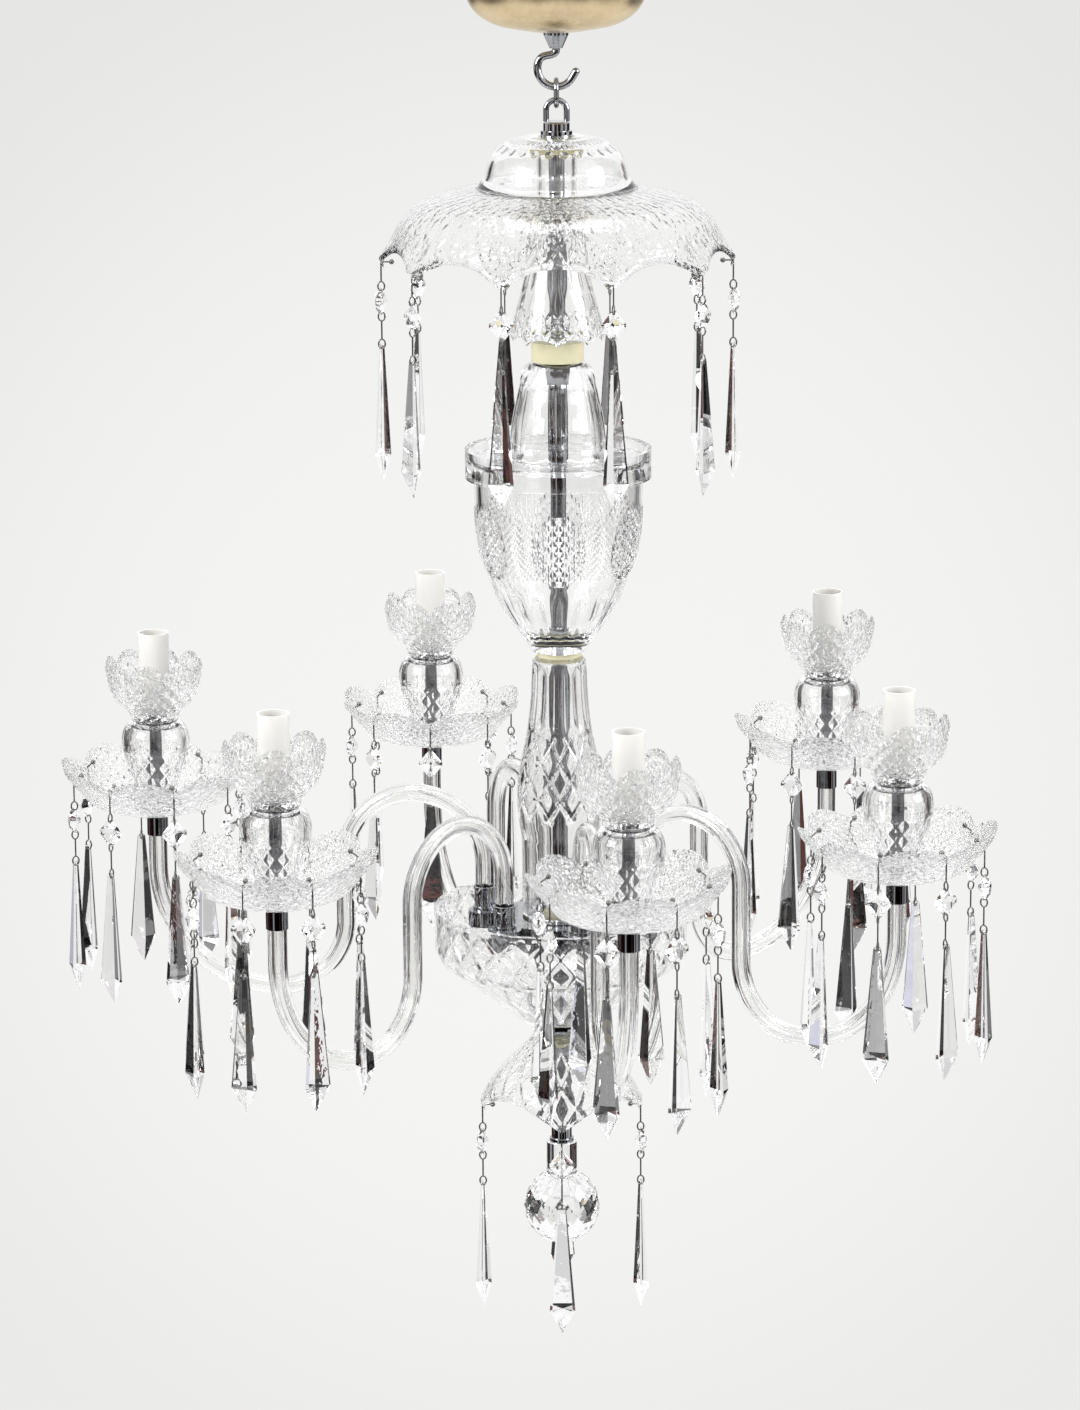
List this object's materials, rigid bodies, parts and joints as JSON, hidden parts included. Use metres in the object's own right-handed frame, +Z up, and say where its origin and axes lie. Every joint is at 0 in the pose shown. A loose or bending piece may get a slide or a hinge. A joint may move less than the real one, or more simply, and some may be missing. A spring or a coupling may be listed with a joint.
{
  "type": "chandelier",
  "caption": "Two-tier clear crystal chandelier with curved glass arms, candle cups and drip pans, scalloped canopies and hinged pairs of hanging drops, hung by a hook and link.",
  "frame": {"origin": "middle of the ceiling strap's top face, where it meets the ceiling", "axes": "+Z up out of the ceiling, the chandelier hangs along -Z; the pictured side faces -Y"},
  "size_m": [0.7128, 0.7106, 1.0433],
  "materials": {
    "clear_glass": "cut clear lead glass, polished",
    "chrome": "bright nickel and chrome plate",
    "zinced_steel": "zinc plate, dull",
    "spun_brass": "spun brass, satin lacquer",
    "cream_washer": "moulded cream plastic",
    "white_sleeve": "smooth white card-like plastic",
    "brown_holder": "moulded brown phenolic"
  },
  "bodies": {
    "ceiling_fixing": {"ceiling_strap": "zinced_steel", "ceiling_cover": "spun_brass", "cone_nut": "chrome", "ceiling_hook": "chrome"},
    "link": {"hanging_link": "chrome"},
    "chandelier": {"top_bail": "chrome", "centre_tube": "chrome", "seat_washers": "cream_washer", "tube_nuts": "chrome", "crown_dome": "clear_glass", "crown_spacer": "clear_glass", "crown_umbrella": "clear_glass", "crown_trumpet": "clear_glass", "stem_lid": "clear_glass", "stem_vase": "clear_glass", "stem_neck": "clear_glass", "arm_plate": "chrome", "hub_bowl": "clear_glass", "tail_umbrella": "clear_glass", "tail_column": "chrome", "finial": "clear_glass", "glass_arms": "clear_glass", "arm_ferrules": "chrome", "candle_fittings": "chrome", "drip_pans": "clear_glass", "candle_balls": "clear_glass", "candle_cups": "clear_glass", "candle_sleeves": "white_sleeve", "lamp_holders": "brown_holder"},
    "crown_drops_1": {"crown_drops_1": "clear_glass"},
    "crown_drops_2": {"crown_drops_2": "clear_glass"},
    "crown_drops_3": {"crown_drops_3": "clear_glass"},
    "crown_drops_4": {"crown_drops_4": "clear_glass"},
    "crown_drops_5": {"crown_drops_5": "clear_glass"},
    "tail_drops_1": {"tail_drops_1": "clear_glass"},
    "tail_drops_2": {"tail_drops_2": "clear_glass"},
    "pan_1_drops_outer": {"pan_1_drops_outer": "clear_glass"},
    "pan_1_drops_left": {"pan_1_drops_left": "clear_glass"},
    "pan_1_drops_inner": {"pan_1_drops_inner": "clear_glass"},
    "pan_1_drops_right": {"pan_1_drops_right": "clear_glass"},
    "pan_2_drops_outer": {"pan_2_drops_outer": "clear_glass"},
    "pan_2_drops_left": {"pan_2_drops_left": "clear_glass"},
    "pan_2_drops_inner": {"pan_2_drops_inner": "clear_glass"},
    "pan_2_drops_right": {"pan_2_drops_right": "clear_glass"},
    "pan_3_drops_outer": {"pan_3_drops_outer": "clear_glass"},
    "pan_3_drops_left": {"pan_3_drops_left": "clear_glass"},
    "pan_3_drops_inner": {"pan_3_drops_inner": "clear_glass"},
    "pan_3_drops_right": {"pan_3_drops_right": "clear_glass"},
    "pan_4_drops_outer": {"pan_4_drops_outer": "clear_glass"},
    "pan_4_drops_left": {"pan_4_drops_left": "clear_glass"},
    "pan_4_drops_inner": {"pan_4_drops_inner": "clear_glass"},
    "pan_4_drops_right": {"pan_4_drops_right": "clear_glass"},
    "pan_5_drops_outer": {"pan_5_drops_outer": "clear_glass"},
    "pan_5_drops_left": {"pan_5_drops_left": "clear_glass"},
    "pan_5_drops_inner": {"pan_5_drops_inner": "clear_glass"},
    "pan_5_drops_right": {"pan_5_drops_right": "clear_glass"},
    "pan_6_drops_outer": {"pan_6_drops_outer": "clear_glass"},
    "pan_6_drops_left": {"pan_6_drops_left": "clear_glass"},
    "pan_6_drops_inner": {"pan_6_drops_inner": "clear_glass"},
    "pan_6_drops_right": {"pan_6_drops_right": "clear_glass"}
  },
  "joints": [
    {"name": "link_swing", "type": "hinge", "parent": "ceiling_fixing", "child": "link", "pos_m": [0, 0, -0.08], "axis": [1, 0, 0], "range_deg": [-20, 20]},
    {"name": "chandelier_swing", "type": "hinge", "parent": "link", "child": "chandelier", "pos_m": [0, 0, -0.09425], "axis": [0, 1, 0], "range_deg": [-20, 20]},
    {"name": "crown_swing_1", "type": "hinge", "parent": "chandelier", "child": "crown_drops_1", "pos_m": [0, -0.12292, -0.21125], "axis": [-1, 0, 0], "range_deg": [-15, 15]},
    {"name": "crown_swing_2", "type": "hinge", "parent": "chandelier", "child": "crown_drops_2", "pos_m": [0.11691, -0.03799, -0.21125], "axis": [-0.309, -0.9511, 0], "range_deg": [-15, 15]},
    {"name": "crown_swing_3", "type": "hinge", "parent": "chandelier", "child": "crown_drops_3", "pos_m": [0.07225, 0.09945, -0.21125], "axis": [0.809, -0.5878, 0], "range_deg": [-15, 15]},
    {"name": "crown_swing_4", "type": "hinge", "parent": "chandelier", "child": "crown_drops_4", "pos_m": [-0.07225, 0.09945, -0.21125], "axis": [0.809, 0.5878, 0], "range_deg": [-15, 15]},
    {"name": "crown_swing_5", "type": "hinge", "parent": "chandelier", "child": "crown_drops_5", "pos_m": [-0.11691, -0.03799, -0.21125], "axis": [-0.309, 0.9511, 0], "range_deg": [-15, 15]},
    {"name": "tail_swing_1", "type": "hinge", "parent": "chandelier", "child": "tail_drops_1", "pos_m": [0.02913, -0.02913, -0.87675], "axis": [-0.7071, -0.7071, 0], "range_deg": [-8, 15]},
    {"name": "tail_swing_2", "type": "hinge", "parent": "chandelier", "child": "tail_drops_2", "pos_m": [-0.02913, 0.02913, -0.87675], "axis": [0.7071, 0.7071, 0], "range_deg": [-8, 15]},
    {"name": "pan_1_swing_outer", "type": "hinge", "parent": "chandelier", "child": "pan_1_drops_outer", "pos_m": [0.05698, -0.35203, -0.61957], "axis": [-0.9903, -0.1392, 0], "range_deg": [-7, 15]},
    {"name": "pan_1_swing_left", "type": "hinge", "parent": "chandelier", "child": "pan_1_drops_left", "pos_m": [0.10634, -0.28653, -0.61957], "axis": [0.1392, -0.9903, 0], "range_deg": [-7, 15]},
    {"name": "pan_1_swing_inner", "type": "hinge", "parent": "chandelier", "child": "pan_1_drops_inner", "pos_m": [0.04084, -0.23718, -0.61957], "axis": [0.9903, 0.1392, 0], "range_deg": [-7, 15]},
    {"name": "pan_1_swing_right", "type": "hinge", "parent": "chandelier", "child": "pan_1_drops_right", "pos_m": [-0.00851, -0.30268, -0.61957], "axis": [-0.1392, 0.9903, 0], "range_deg": [-7, 15]},
    {"name": "pan_2_swing_outer", "type": "hinge", "parent": "chandelier", "child": "pan_2_drops_outer", "pos_m": [0.29526, -0.20378, -0.61957], "axis": [-0.6225, -0.7826, 0], "range_deg": [-7, 15]},
    {"name": "pan_2_swing_left", "type": "hinge", "parent": "chandelier", "child": "pan_2_drops_left", "pos_m": [0.28598, -0.1223, -0.61957], "axis": [0.7826, -0.6225, 0], "range_deg": [-7, 15]},
    {"name": "pan_2_swing_inner", "type": "hinge", "parent": "chandelier", "child": "pan_2_drops_inner", "pos_m": [0.2045, -0.13158, -0.61957], "axis": [0.6225, 0.7826, 0], "range_deg": [-7, 15]},
    {"name": "pan_2_swing_right", "type": "hinge", "parent": "chandelier", "child": "pan_2_drops_right", "pos_m": [0.21378, -0.21306, -0.61957], "axis": [-0.7826, 0.6225, 0], "range_deg": [-7, 15]},
    {"name": "pan_3_swing_outer", "type": "hinge", "parent": "chandelier", "child": "pan_3_drops_outer", "pos_m": [0.26072, 0.2225, -0.61957], "axis": [0.6361, -0.7716, 0], "range_deg": [-7, 15]},
    {"name": "pan_3_swing_left", "type": "hinge", "parent": "chandelier", "child": "pan_3_drops_left", "pos_m": [0.17909, 0.23036, -0.61957], "axis": [0.7716, 0.6361, 0], "range_deg": [-7, 15]},
    {"name": "pan_3_swing_inner", "type": "hinge", "parent": "chandelier", "child": "pan_3_drops_inner", "pos_m": [0.17123, 0.14873, -0.61957], "axis": [-0.6361, 0.7716, 0], "range_deg": [-7, 15]},
    {"name": "pan_3_swing_right", "type": "hinge", "parent": "chandelier", "child": "pan_3_drops_right", "pos_m": [0.25286, 0.14087, -0.61957], "axis": [-0.7716, -0.6361, 0], "range_deg": [-7, 15]},
    {"name": "pan_4_swing_outer", "type": "hinge", "parent": "chandelier", "child": "pan_4_drops_outer", "pos_m": [-0.12831, 0.32402, -0.61957], "axis": [0.9205, 0.3907, 0], "range_deg": [-7, 15]},
    {"name": "pan_4_swing_left", "type": "hinge", "parent": "chandelier", "child": "pan_4_drops_left", "pos_m": [-0.15904, 0.24798, -0.61957], "axis": [-0.3907, 0.9205, 0], "range_deg": [-7, 15]},
    {"name": "pan_4_swing_inner", "type": "hinge", "parent": "chandelier", "child": "pan_4_drops_inner", "pos_m": [-0.083, 0.21726, -0.61957], "axis": [-0.9205, -0.3907, 0], "range_deg": [-7, 15]},
    {"name": "pan_4_swing_right", "type": "hinge", "parent": "chandelier", "child": "pan_4_drops_right", "pos_m": [-0.05228, 0.2933, -0.61957], "axis": [0.3907, -0.9205, 0], "range_deg": [-7, 15]},
    {"name": "pan_5_swing_outer", "type": "hinge", "parent": "chandelier", "child": "pan_5_drops_outer", "pos_m": [-0.37288, 0.05156, -0.61957], "axis": [0.1132, 0.9936, 0], "range_deg": [-7, 15]},
    {"name": "pan_5_swing_left", "type": "hinge", "parent": "chandelier", "child": "pan_5_drops_left", "pos_m": [-0.32183, -0.01262, -0.61957], "axis": [-0.9936, 0.1132, 0], "range_deg": [-7, 15]},
    {"name": "pan_5_swing_inner", "type": "hinge", "parent": "chandelier", "child": "pan_5_drops_inner", "pos_m": [-0.25765, 0.03843, -0.61957], "axis": [-0.1132, -0.9936, 0], "range_deg": [-7, 15]},
    {"name": "pan_5_swing_right", "type": "hinge", "parent": "chandelier", "child": "pan_5_drops_right", "pos_m": [-0.3087, 0.10261, -0.61957], "axis": [0.9936, -0.1132, 0], "range_deg": [-7, 15]},
    {"name": "pan_6_swing_outer", "type": "hinge", "parent": "chandelier", "child": "pan_6_drops_outer", "pos_m": [-0.24519, -0.27558, -0.61957], "axis": [-0.7547, 0.6561, 0], "range_deg": [-7, 15]},
    {"name": "pan_6_swing_left", "type": "hinge", "parent": "chandelier", "child": "pan_6_drops_left", "pos_m": [-0.16338, -0.26986, -0.61957], "axis": [-0.6561, -0.7547, 0], "range_deg": [-7, 15]},
    {"name": "pan_6_swing_inner", "type": "hinge", "parent": "chandelier", "child": "pan_6_drops_inner", "pos_m": [-0.1691, -0.18805, -0.61957], "axis": [0.7547, -0.6561, 0], "range_deg": [-7, 15]},
    {"name": "pan_6_swing_right", "type": "hinge", "parent": "chandelier", "child": "pan_6_drops_right", "pos_m": [-0.25091, -0.19377, -0.61957], "axis": [0.6561, 0.7547, 0], "range_deg": [-7, 15]}
  ]
}
